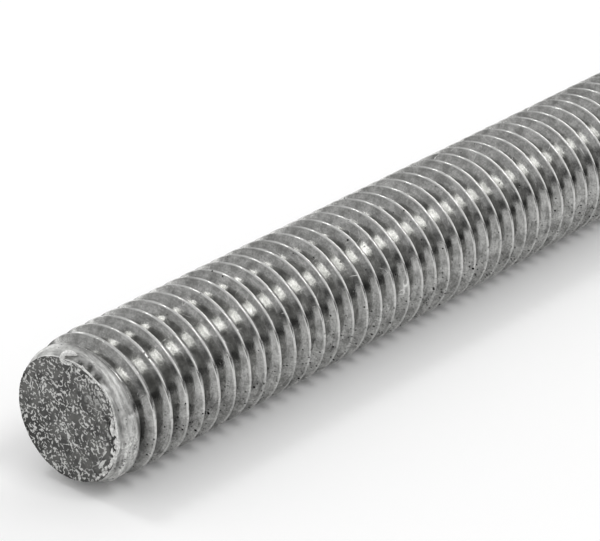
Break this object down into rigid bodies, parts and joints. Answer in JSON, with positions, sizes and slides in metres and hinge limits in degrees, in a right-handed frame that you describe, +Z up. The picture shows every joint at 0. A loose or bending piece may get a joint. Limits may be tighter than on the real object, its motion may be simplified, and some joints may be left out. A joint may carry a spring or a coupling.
{
  "type": "threaded rod",
  "caption": "Straight steel rod with a right-hand metric coarse thread over its whole length, tapered at the near end and plainly chamfered at the far end, for nuts, hangers and anchors.",
  "frame": {"origin": "on the floor under the middle of the rod, midway between its cut faces", "axes": "+X along the rod from the near (pictured) end to the far end, +Z up, the rod lying on its side"},
  "size_m": [0.15, 0.01, 0.01],
  "materials": {
    "steel": "bright rolled thread with fine pits, and a rough cut face"
  },
  "bodies": {
    "root": {"threaded_rod": "steel"}
  },
  "joints": []
}
